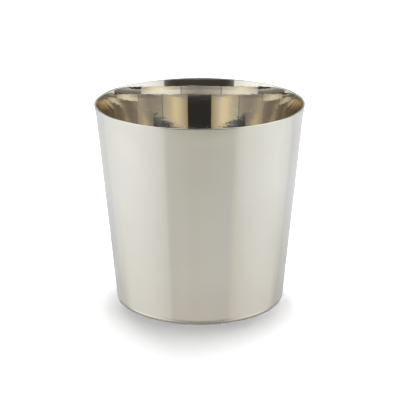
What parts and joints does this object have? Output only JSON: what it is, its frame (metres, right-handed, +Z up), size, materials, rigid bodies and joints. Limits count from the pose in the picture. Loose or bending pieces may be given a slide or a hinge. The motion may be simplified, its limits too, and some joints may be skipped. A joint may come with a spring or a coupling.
{
  "type": "deep drawn metal cup",
  "caption": "Round, slightly tapered open cup drawn in one piece from polished steel sheet, with a gently flared, rounded lip and a shallow panel pressed up in its base.",
  "frame": {"origin": "centre of the foot, on the surface the cup stands on", "axes": "+Z up along the axis of the cup, towards its open mouth"},
  "size_m": [0.085, 0.085, 0.0829],
  "materials": {
    "polished_steel": "bright polish with fine lines round the wall"
  },
  "bodies": {
    "root": {"cup": "polished_steel"}
  },
  "joints": []
}
